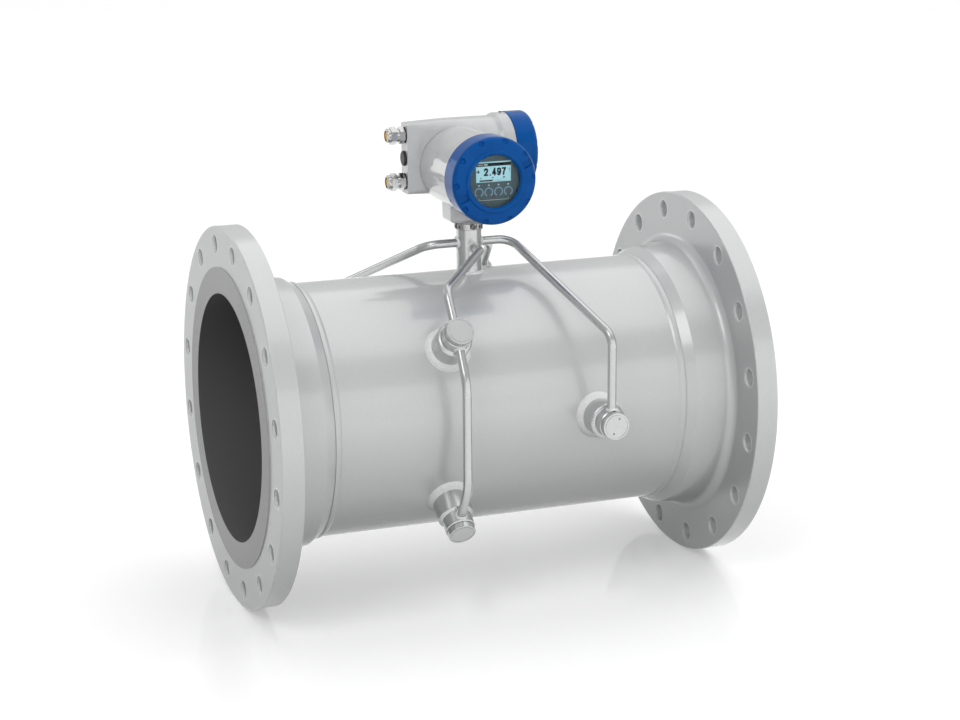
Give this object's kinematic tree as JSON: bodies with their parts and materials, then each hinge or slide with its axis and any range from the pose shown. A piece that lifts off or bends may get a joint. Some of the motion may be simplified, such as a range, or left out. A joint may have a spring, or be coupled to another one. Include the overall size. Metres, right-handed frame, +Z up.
{
  "type": "ultrasonic flow meter",
  "caption": "Flanged pipe spool with angled ultrasonic sensor pockets, steel cable conduits and a swivelling converter head with display and screw covers; measures flow in a pipe.",
  "frame": {"origin": "on the pipe axis, midway between the two flange faces", "axes": "+X along the pipe from inlet to outlet, +Z up along the stem, the display faces -Y"},
  "size_m": [0.8, 0.5968, 0.7394],
  "materials": {
    "silver_coat": "satin silver-grey coating over steel",
    "raw_weld": "rippled weld bead, lightly brushed",
    "stainless": "drawn stainless steel, satin",
    "sensor_steel": "turned stainless steel",
    "seal_rubber": "moulded black rubber",
    "grey_casting": "die casting with light grey powder coat",
    "blue_cover": "die casting with glossy blue powder coat",
    "window_glass": "clear toughened glass",
    "fascia": "dark slate moulded panel",
    "lcd": "pale liquid-crystal panel",
    "potting": "potted electronics cartridge",
    "terminal_plastic": "moulded terminal rows",
    "nickel": "nickel-plated brass, turned",
    "yellow_plug": "moulded yellow plug",
    "black_plug": "moulded black plug",
    "screw_steel": "stainless fasteners"
  },
  "bodies": {
    "meter_body": {"measuring_tube": "silver_coat", "inlet_flange": "silver_coat", "outlet_flange": "silver_coat", "girth_welds": "raw_weld", "pocket_welds": "raw_weld", "sensor_pocket_front_top": "stainless", "transducer_front_top": "sensor_steel", "sensor_pocket_front_bottom": "stainless", "transducer_front_bottom": "sensor_steel", "sensor_pocket_front_mid": "stainless", "transducer_front_mid": "sensor_steel", "conduit_front_top": "stainless", "conduit_front_link": "stainless", "conduit_front_mid": "stainless", "sensor_pocket_rear_top": "stainless", "transducer_rear_top": "sensor_steel", "sensor_pocket_rear_bottom": "stainless", "transducer_rear_bottom": "sensor_steel", "sensor_pocket_rear_mid": "stainless", "transducer_rear_mid": "sensor_steel", "conduit_rear_top": "stainless", "conduit_rear_link": "stainless", "conduit_rear_mid": "stainless", "stem": "stainless", "stem_weld": "raw_weld", "stem_collar": "stainless", "collar_screws": "screw_steel"},
    "converter_head": {"converter_housing": "grey_casting", "electronics_unit": "potting", "display_fascia": "fascia", "lcd_panel": "lcd", "terminal_block": "terminal_plastic", "gland_gaskets": "seal_rubber", "blanking_plug": "black_plug", "gland_body_upper": "nickel", "gland_body_lower": "nickel"},
    "front_cover_ring": {"front_cover_seal": "seal_rubber"},
    "front_cover": {"front_cover": "blue_cover", "window": "window_glass", "window_gasket": "seal_rubber", "cover_lock_screw": "screw_steel"},
    "terminal_cover_ring": {"terminal_cover_seal": "seal_rubber"},
    "terminal_cover": {"terminal_cover": "blue_cover"},
    "gland_plug_upper": {"gland_plug_upper": "yellow_plug"},
    "gland_nut_upper": {"gland_nut_upper": "nickel"},
    "gland_plug_lower": {"gland_plug_lower": "yellow_plug"},
    "gland_nut_lower": {"gland_nut_lower": "nickel"},
    "cap_ring_front_top": {"cap_seal_front_top": "seal_rubber"},
    "sensor_cap_front_top": {"sensor_cap_front_top": "stainless"},
    "cap_ring_front_bottom": {"cap_seal_front_bottom": "seal_rubber"},
    "sensor_cap_front_bottom": {"sensor_cap_front_bottom": "stainless"},
    "cap_ring_front_mid": {"cap_seal_front_mid": "seal_rubber"},
    "sensor_cap_front_mid": {"sensor_cap_front_mid": "stainless"},
    "cap_ring_rear_top": {"cap_seal_rear_top": "seal_rubber"},
    "sensor_cap_rear_top": {"sensor_cap_rear_top": "stainless"},
    "cap_ring_rear_bottom": {"cap_seal_rear_bottom": "seal_rubber"},
    "sensor_cap_rear_bottom": {"sensor_cap_rear_bottom": "stainless"},
    "cap_ring_rear_mid": {"cap_seal_rear_mid": "seal_rubber"},
    "sensor_cap_rear_mid": {"sensor_cap_rear_mid": "stainless"}
  },
  "joints": [
    {"name": "head_swivel", "type": "hinge", "parent": "meter_body", "child": "converter_head", "pos_m": [0, 0, 0.2798], "axis": [0, 0, 1], "range_deg": [-90, 90]},
    {"name": "front_cover_lift", "type": "slide", "parent": "converter_head", "child": "front_cover_ring", "axis": [0, -1, 0], "range_m": [0, 0.006]},
    {"name": "front_cover_turn", "type": "hinge", "parent": "front_cover_ring", "child": "front_cover", "pos_m": [0, -0.077, 0.3625], "axis": [0, -1, 0], "range_deg": [0, 1090]},
    {"name": "terminal_cover_lift", "type": "slide", "parent": "converter_head", "child": "terminal_cover_ring", "axis": [1, 0, 0], "range_m": [0, 0.006]},
    {"name": "terminal_cover_turn", "type": "hinge", "parent": "terminal_cover_ring", "child": "terminal_cover", "pos_m": [0.086, 0.066, 0.3795], "axis": [1, 0, 0], "range_deg": [0, 1090]},
    {"name": "gland_upper_lift", "type": "slide", "parent": "converter_head", "child": "gland_plug_upper", "axis": [-1, 0, 0], "range_m": [0, 0.003]},
    {"name": "gland_upper_turn", "type": "hinge", "parent": "gland_plug_upper", "child": "gland_nut_upper", "pos_m": [-0.083, 0.066, 0.413], "axis": [-1, 0, 0], "range_deg": [0, 730]},
    {"name": "gland_lower_lift", "type": "slide", "parent": "converter_head", "child": "gland_plug_lower", "axis": [-1, 0, 0], "range_m": [0, 0.003]},
    {"name": "gland_lower_turn", "type": "hinge", "parent": "gland_plug_lower", "child": "gland_nut_lower", "pos_m": [-0.083, 0.066, 0.339], "axis": [-1, 0, 0], "range_deg": [0, 730]},
    {"name": "cap_front_top_lift", "type": "slide", "parent": "meter_body", "child": "cap_ring_front_top", "axis": [0, -0.807, 0.5906], "range_m": [0, 0.003]},
    {"name": "cap_front_top_turn", "type": "hinge", "parent": "cap_ring_front_top", "child": "sensor_cap_front_top", "pos_m": [-0.0955, -0.21142, 0.15474], "axis": [0, -0.807, 0.5906], "range_deg": [0, 730]},
    {"name": "cap_front_bottom_lift", "type": "slide", "parent": "meter_body", "child": "cap_ring_front_bottom", "axis": [0, -0.807, -0.5906], "range_m": [0, 0.003]},
    {"name": "cap_front_bottom_turn", "type": "hinge", "parent": "cap_ring_front_bottom", "child": "sensor_cap_front_bottom", "pos_m": [-0.0955, -0.21142, -0.15474], "axis": [0, -0.807, -0.5906], "range_deg": [0, 730]},
    {"name": "cap_front_mid_lift", "type": "slide", "parent": "meter_body", "child": "cap_ring_front_mid", "axis": [0, -1, 0], "range_m": [0, 0.003]},
    {"name": "cap_front_mid_turn", "type": "hinge", "parent": "cap_ring_front_mid", "child": "sensor_cap_front_mid", "pos_m": [0.137, -0.262, 0], "axis": [0, -1, 0], "range_deg": [0, 730]},
    {"name": "cap_rear_top_lift", "type": "slide", "parent": "meter_body", "child": "cap_ring_rear_top", "axis": [0, 0.807, 0.5906], "range_m": [0, 0.003]},
    {"name": "cap_rear_top_turn", "type": "hinge", "parent": "cap_ring_rear_top", "child": "sensor_cap_rear_top", "pos_m": [0.0955, 0.21142, 0.15474], "axis": [0, 0.807, 0.5906], "range_deg": [0, 730]},
    {"name": "cap_rear_bottom_lift", "type": "slide", "parent": "meter_body", "child": "cap_ring_rear_bottom", "axis": [0, 0.807, -0.5906], "range_m": [0, 0.003]},
    {"name": "cap_rear_bottom_turn", "type": "hinge", "parent": "cap_ring_rear_bottom", "child": "sensor_cap_rear_bottom", "pos_m": [0.0955, 0.21142, -0.15474], "axis": [0, 0.807, -0.5906], "range_deg": [0, 730]},
    {"name": "cap_rear_mid_lift", "type": "slide", "parent": "meter_body", "child": "cap_ring_rear_mid", "axis": [0, 1, 0], "range_m": [0, 0.003]},
    {"name": "cap_rear_mid_turn", "type": "hinge", "parent": "cap_ring_rear_mid", "child": "sensor_cap_rear_mid", "pos_m": [-0.137, 0.262, 0], "axis": [0, 1, 0], "range_deg": [0, 730]}
  ],
  "couplings": [
    {"joint": "front_cover_turn", "follows": "front_cover_lift", "rad_per_m": 3141.6},
    {"joint": "terminal_cover_turn", "follows": "terminal_cover_lift", "rad_per_m": 3141.6},
    {"joint": "gland_upper_turn", "follows": "gland_upper_lift", "rad_per_m": 4188.8},
    {"joint": "gland_lower_turn", "follows": "gland_lower_lift", "rad_per_m": 4188.8},
    {"joint": "cap_front_top_turn", "follows": "cap_front_top_lift", "rad_per_m": 4188.8},
    {"joint": "cap_front_bottom_turn", "follows": "cap_front_bottom_lift", "rad_per_m": 4188.8},
    {"joint": "cap_front_mid_turn", "follows": "cap_front_mid_lift", "rad_per_m": 4188.8},
    {"joint": "cap_rear_top_turn", "follows": "cap_rear_top_lift", "rad_per_m": 4188.8},
    {"joint": "cap_rear_bottom_turn", "follows": "cap_rear_bottom_lift", "rad_per_m": 4188.8},
    {"joint": "cap_rear_mid_turn", "follows": "cap_rear_mid_lift", "rad_per_m": 4188.8}
  ]
}
